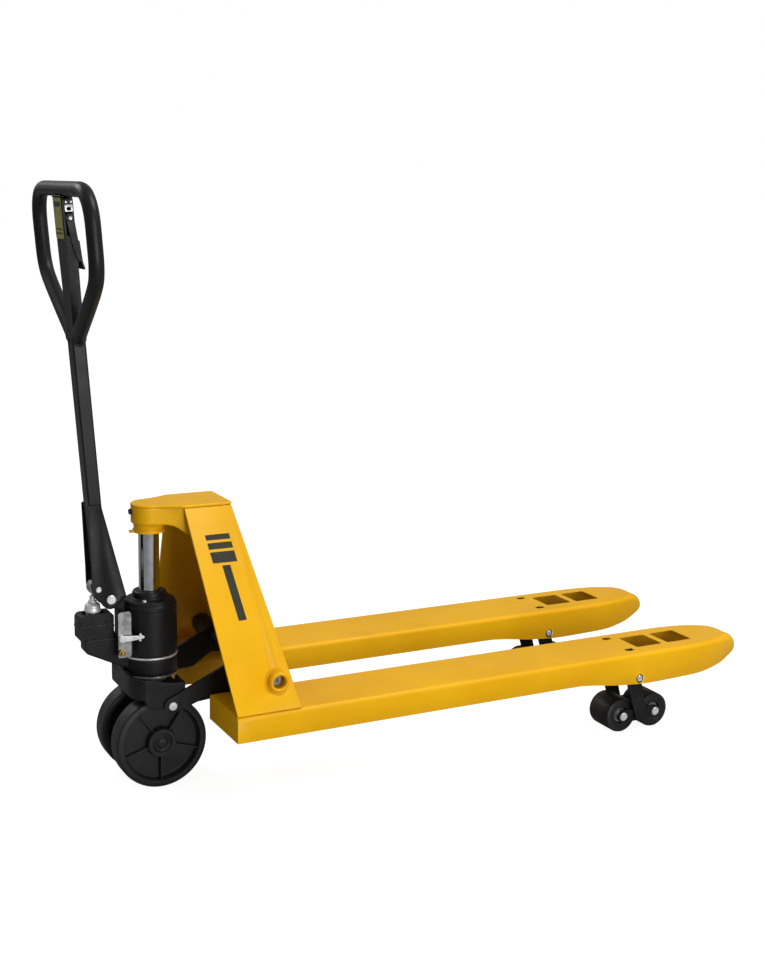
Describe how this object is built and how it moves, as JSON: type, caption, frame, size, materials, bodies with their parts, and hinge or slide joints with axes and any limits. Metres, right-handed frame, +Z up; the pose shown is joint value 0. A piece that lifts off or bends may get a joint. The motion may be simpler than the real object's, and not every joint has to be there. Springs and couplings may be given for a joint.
{
  "type": "hand pallet jack",
  "caption": "Hand pallet jack: long box forks on tandem load rollers, leaning mast, hydraulic pump on steered wheels and a wide loop handle with a control lever.",
  "frame": {"origin": "on the floor, under the middle of the bounding box", "axes": "+X along the forks towards their tips, +Y to the left of a person standing at the handle and looking along the forks, +Z up"},
  "size_m": [1.6381, 0.54, 1.2662],
  "materials": {
    "yellow_paint": "gloss powder coat over sheet steel",
    "black_casting": "satin black paint over castings and plate",
    "black_tube": "smooth satin black coating on tube",
    "tread_plastic": "turned black nylon, faintly marked by use",
    "hub_plastic": "moulded black plastic",
    "zinc_steel": "zinc plated",
    "plain_steel": "bare turned or rolled steel",
    "chrome_rod": "polished hard chrome",
    "brass": "turned brass",
    "label": "printed film on a plate, blank of any wording"
  },
  "bodies": {
    "base": {"bearing_block": "black_casting", "thrust_bearing": "plain_steel"},
    "pump": {"pump_casting": "black_casting", "reservoir_tank": "black_casting", "gland_cap": "black_casting", "piston_housing": "black_casting", "steer_axle": "plain_steel", "release_bracket": "black_casting", "brass_fitting": "brass", "handle_pivot_pin": "zinc_steel"},
    "steer_wheel_left": {"steer_wheel_left": "tread_plastic", "hub_cap_left": "hub_plastic"},
    "steer_wheel_right": {"steer_wheel_right": "tread_plastic", "hub_cap_right": "hub_plastic"},
    "handle": {"yoke_plate_left": "black_casting", "yoke_plate_right": "black_casting", "draw_bar": "black_casting", "grip_stem": "black_tube", "handle_loop": "black_tube", "label_plate": "label", "roller_pin": "zinc_steel", "lever_pin": "zinc_steel"},
    "cam_roller": {"cam_roller": "plain_steel"},
    "piston": {"piston_rod": "zinc_steel", "spring_cap": "zinc_steel"},
    "control_lever": {"control_lever": "black_tube"},
    "pull_rod": {"pull_rod": "zinc_steel"},
    "release_lever": {"release_lever": "black_casting"},
    "frame": {"fork_left": "yellow_paint", "fork_right": "yellow_paint", "side_plate_left": "yellow_paint", "side_plate_right": "yellow_paint", "backrest_plate": "yellow_paint", "top_plate": "yellow_paint", "ram_cup": "yellow_paint", "ram": "chrome_rod", "cup_bolt": "zinc_steel", "torque_shaft": "plain_steel", "yoke_pin_left": "zinc_steel", "yoke_pin_right": "zinc_steel"},
    "rocker": {"rocker_arm_left": "black_casting", "rocker_arm_right": "black_casting", "rocker_tube": "black_casting", "trunnion_pin_left": "zinc_steel", "trunnion_pin_right": "zinc_steel"},
    "push_rod_left": {"push_rod_left": "plain_steel"},
    "load_yoke_left": {"load_yoke_left": "black_casting"},
    "bogie_left": {"bogie_left": "black_casting", "rear_roller_axle_left": "zinc_steel", "front_roller_axle_left": "zinc_steel"},
    "rear_roller_left": {"rear_roller_left": "tread_plastic"},
    "front_roller_left": {"front_roller_left": "tread_plastic"},
    "push_rod_right": {"push_rod_right": "plain_steel"},
    "load_yoke_right": {"load_yoke_right": "black_casting"},
    "bogie_right": {"bogie_right": "black_casting", "rear_roller_axle_right": "zinc_steel", "front_roller_axle_right": "zinc_steel"},
    "rear_roller_right": {"rear_roller_right": "tread_plastic"},
    "front_roller_right": {"front_roller_right": "tread_plastic"}
  },
  "joints": [
    {"name": "steer", "type": "hinge", "parent": "base", "child": "pump", "pos_m": [-0.63595, 0, 0.23], "axis": [0, 0, 1], "range_deg": [-90, 90]},
    {"name": "steer_wheel_left_spin", "type": "hinge", "parent": "pump", "child": "steer_wheel_left", "pos_m": [-0.63595, 0.053, 0.1], "axis": [0, 1, 0], "continuous": true},
    {"name": "steer_wheel_right_spin", "type": "hinge", "parent": "pump", "child": "steer_wheel_right", "pos_m": [-0.63595, -0.053, 0.1], "axis": [0, 1, 0], "continuous": true},
    {"name": "handle_swing", "type": "hinge", "parent": "pump", "child": "handle", "pos_m": [-0.72695, 0, 0.413], "axis": [0, -1, 0], "range_deg": [0, 80]},
    {"name": "cam_roller_spin", "type": "hinge", "parent": "handle", "child": "cam_roller", "pos_m": [-0.75347, 0, 0.43725], "axis": [0, 1, 0], "continuous": true},
    {"name": "piston_stroke", "type": "slide", "parent": "pump", "child": "piston", "axis": [0, 0, 1], "range_m": [-0.0463, 0]},
    {"name": "control_lever_swing", "type": "hinge", "parent": "handle", "child": "control_lever", "pos_m": [-0.79881, 0, 1.1958], "axis": [0, 1, 0], "range_deg": [-24, 0]},
    {"name": "pull_rod_slide", "type": "slide", "parent": "handle", "child": "pull_rod", "axis": [-0.0762, 0, 0.9971], "range_m": [0, 0.0085]},
    {"name": "release_lever_swing", "type": "hinge", "parent": "pump", "child": "release_lever", "pos_m": [-0.71395, -0.0565, 0.334], "axis": [0, 1, 0], "range_deg": [-8, 0]},
    {"name": "lift", "type": "slide", "parent": "base", "child": "frame", "axis": [0, 0, 1], "range_m": [-0.12, 0]},
    {"name": "rocker_swing", "type": "hinge", "parent": "frame", "child": "rocker", "pos_m": [-0.44295, 0, 0.264], "axis": [0, 1, 0], "range_deg": [0, 36.2]},
    {"name": "push_rod_left_swing", "type": "hinge", "parent": "rocker", "child": "push_rod_left", "pos_m": [-0.41885, 0.19, 0.19], "axis": [0, 1, 0], "range_deg": [-36.2, 0]},
    {"name": "load_yoke_left_swing", "type": "hinge", "parent": "frame", "child": "load_yoke_left", "pos_m": [0.47405, 0.19, 0.146], "axis": [0, 1, 0], "range_deg": [-81.3, 0]},
    {"name": "bogie_left_swing", "type": "hinge", "parent": "load_yoke_left", "child": "bogie_left", "pos_m": [0.50605, 0.19, 0.0415], "axis": [0, 1, 0], "range_deg": [0, 81.3]},
    {"name": "rear_roller_left_spin", "type": "hinge", "parent": "bogie_left", "child": "rear_roller_left", "pos_m": [0.45905, 0.19, 0.0415], "axis": [0, 1, 0], "continuous": true},
    {"name": "front_roller_left_spin", "type": "hinge", "parent": "bogie_left", "child": "front_roller_left", "pos_m": [0.55305, 0.19, 0.0415], "axis": [0, 1, 0], "continuous": true},
    {"name": "push_rod_right_swing", "type": "hinge", "parent": "rocker", "child": "push_rod_right", "pos_m": [-0.41885, -0.19, 0.19], "axis": [0, 1, 0], "range_deg": [-36.2, 0]},
    {"name": "load_yoke_right_swing", "type": "hinge", "parent": "frame", "child": "load_yoke_right", "pos_m": [0.47405, -0.19, 0.146], "axis": [0, 1, 0], "range_deg": [-81.3, 0]},
    {"name": "bogie_right_swing", "type": "hinge", "parent": "load_yoke_right", "child": "bogie_right", "pos_m": [0.50605, -0.19, 0.0415], "axis": [0, 1, 0], "range_deg": [0, 81.3]},
    {"name": "rear_roller_right_spin", "type": "hinge", "parent": "bogie_right", "child": "rear_roller_right", "pos_m": [0.45905, -0.19, 0.0415], "axis": [0, 1, 0], "continuous": true},
    {"name": "front_roller_right_spin", "type": "hinge", "parent": "bogie_right", "child": "front_roller_right", "pos_m": [0.55305, -0.19, 0.0415], "axis": [0, 1, 0], "continuous": true}
  ],
  "couplings": [
    {"joint": "piston_stroke", "follows": "handle_swing", "m_per_rad": -0.0331},
    {"joint": "pull_rod_slide", "follows": "control_lever_swing", "m_per_rad": -0.02},
    {"joint": "release_lever_swing", "follows": "control_lever_swing", "ratio": 0.3},
    {"joint": "rocker_swing", "follows": "lift", "rad_per_m": -5.25},
    {"joint": "push_rod_left_swing", "follows": "lift", "rad_per_m": 5.25},
    {"joint": "load_yoke_left_swing", "follows": "lift", "rad_per_m": 11.796},
    {"joint": "bogie_left_swing", "follows": "lift", "rad_per_m": -11.796},
    {"joint": "push_rod_right_swing", "follows": "lift", "rad_per_m": 5.25},
    {"joint": "load_yoke_right_swing", "follows": "lift", "rad_per_m": 11.796},
    {"joint": "bogie_right_swing", "follows": "lift", "rad_per_m": -11.796}
  ]
}
